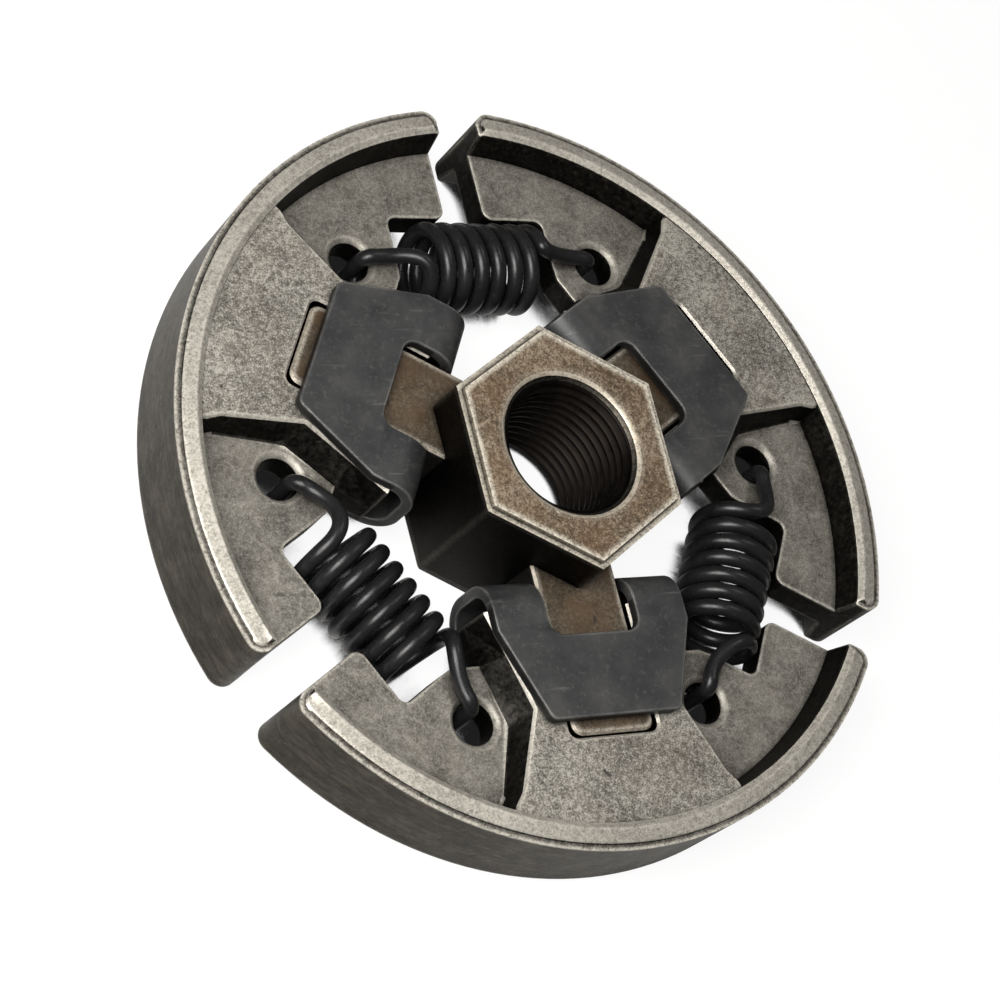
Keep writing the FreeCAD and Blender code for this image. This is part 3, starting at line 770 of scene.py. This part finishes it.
def threadRing():
    t = threadSet
    z = np.linspace(t["low"], t["high"], t["rows"])[:, None]
    angle = np.linspace(0.0, 2 * np.pi, t["columns"], endpoint=False)[None, :]
    # the phase is 0 at the crest and 1 in the groove
    phase = np.abs(np.mod(z / t["pitch"] + angle / (2 * np.pi), 1.0) - 0.5) * 2
    rise = np.clip((phase - t["crestFlat"]) / t["flank"], 0.0, 1.0)
    radius = t["crest"] + (t["root"] - t["crest"]) * rise
    # both mouths are 45 degree cones
    mouth = np.maximum(t["mouth"] - (t["hubLength"] - z), t["mouth"] - z)
    radius = np.minimum(np.maximum(radius, mouth), t["root"])
    wall = np.full_like(radius, t["back"])
    heights = np.broadcast_to(z, radius.shape)
    inner = np.stack([radius * np.cos(angle), radius * np.sin(angle), heights], axis=-1)
    outer = np.stack([wall * np.cos(angle), wall * np.sin(angle), heights], axis=-1)
    crest = np.concatenate([1.0 - rise[::-1], np.zeros_like(rise)])
    return np.concatenate([inner[::-1], outer]), crest


points, crest = threadRing()
piece = gridPiece("bore_thread", points, True, False, threadDark)
layer = piece.data.attributes.new("crest", "FLOAT", "POINT")
layer.data.foreach_set("value", crest.astype(np.float32).ravel())
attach(piece, "carrier")
print("thread cut")


# floor, light and camera

stageSet = {"half": 3.0, "paper": rgb(0.9, 0.9, 0.9), "glow": 0.9, "shade": 0.145,
            "deepReach": 0.03, "deepSamples": 96, "deepRadius": 0.0345, "deep": (0.075, 0.1),
            "deepGlow": 0.012, "sky": rgb(1.0, 0.99, 0.97), "skyStrength": 0.12}


def lit(tree, strength):  # white glow plus a thin share of the lamps' light, which keeps the shadow
    glow = put(tree, "Emission", {"Color": rgb(1.0, 1.0, 1.0), "Strength": strength}).outputs[0]
    share = times(tree, strength, stageSet["shade"])
    grey = put(tree, "CombineColor", {0: share, 1: share, 2: share}).outputs[0]
    shade = put(tree, "BsdfDiffuse", {"Color": grey}).outputs[0]
    return put(tree, "AddShader", {0: glow, 1: shade}).outputs[0]


def paperFloor():
    s = stageSet
    material, tree, surface, place = startMaterial("paperFloor")
    tree.nodes.remove(surface)
    paper = put(tree, "BsdfDiffuse", {"Color": s["paper"]}).outputs[0]
    bright = lit(tree, s["glow"])
    # painted shadow: under the clutch the paper goes dark where it is almost shut in, below the
    # holes and coils
    near = openness(tree, s["deepReach"], s["deepSamples"])
    deep = lit(tree, span(tree, near, *s["deep"], s["deepGlow"], s["glow"]))
    far = put(tree, "VectorMath", {0: place}, operation="LENGTH").outputs["Value"]
    under = calc(tree, "LESS_THAN", far, s["deepRadius"])
    seen = put(tree, "MixShader", {0: under, 1: bright, 2: deep}).outputs[0]
    ray = put(tree, "LightPath")
    straight = calc(tree, "MAXIMUM", ray.outputs["Is Camera Ray"],
                    ray.outputs["Is Transmission Ray"])
    both = put(tree, "MixShader", {0: straight, 1: paper, 2: seen}).outputs[0]
    tree.links.new(both, tree.nodes["Material Output"].inputs["Surface"])
    return material


half = stageSet["half"]
mesh = bpy.data.meshes.new("floor")
mesh.from_pydata([(-half, -half, 0.0), (half, -half, 0.0), (half, half, 0.0), (-half, half, 0.0)],
                 [], [(0, 1, 2, 3)])
mesh.materials.append(paperFloor())
floor = bpy.data.objects.new("floor", mesh)
bpy.context.scene.collection.objects.link(floor)

world = bpy.data.worlds.new("studio")
bpy.context.scene.world = world
world.use_nodes = True
sky = world.node_tree.nodes["Background"].inputs
sky["Color"].default_value = stageSet["sky"]
sky["Strength"].default_value = stageSet["skyStrength"]

lampSet = {
    "keyBox": {"way": (-0.62, -0.13, 0.75), "far": 0.18, "size": 0.11, "watts": 0.52,
               "colour": (1.0, 0.98, 0.95)},
    "backBox": {"way": (0.34, 0.18, 0.92), "far": 0.6, "size": 0.24, "watts": 0.42,
                "colour": (1.0, 0.99, 0.97)},
}
for name, lamp in lampSet.items():
    light = bpy.data.lights.new(name, "AREA")
    light.shape = "SQUARE"
    light.size = lamp["size"]
    light.energy = lamp["watts"]
    light.color = lamp["colour"]
    holder = bpy.data.objects.new(name, light)
    way = Vector(lamp["way"]).normalized()
    holder.location = way * lamp["far"]
    holder.rotation_euler = way.to_track_quat("Z", "Y").to_euler()
    bpy.context.scene.collection.objects.link(holder)

cameraSet = {
    "at": (-0.12223, -0.07259, 0.18040), "right": (0.8483, -0.2330, 0.4756),
    "up": (0.0284, 0.9168, 0.3984), "ahead": (0.5288, 0.3244, -0.7843),
    "lens": 96.58, "sensor": 36.0, "shift": (0.0135, -0.0165), "clipStart": 0.01,
}
view = bpy.data.cameras.new("photoView")
view.lens = cameraSet["lens"]
view.sensor_width = cameraSet["sensor"]
view.sensor_fit = "HORIZONTAL"
view.shift_x, view.shift_y = cameraSet["shift"]
view.clip_start = cameraSet["clipStart"]
camera = bpy.data.objects.new("photoView", view)
axes = [Vector(cameraSet["right"]), Vector(cameraSet["up"]), -Vector(cameraSet["ahead"])]
turnMatrix = Matrix([[axis[row] for axis in axes] for row in range(3)]).to_4x4()
camera.matrix_world = Matrix.Translation(cameraSet["at"]) @ turnMatrix
bpy.context.scene.collection.objects.link(camera)
bpy.context.scene.camera = camera
bpy.context.scene.view_settings.view_transform = "Standard"
print("stage set")
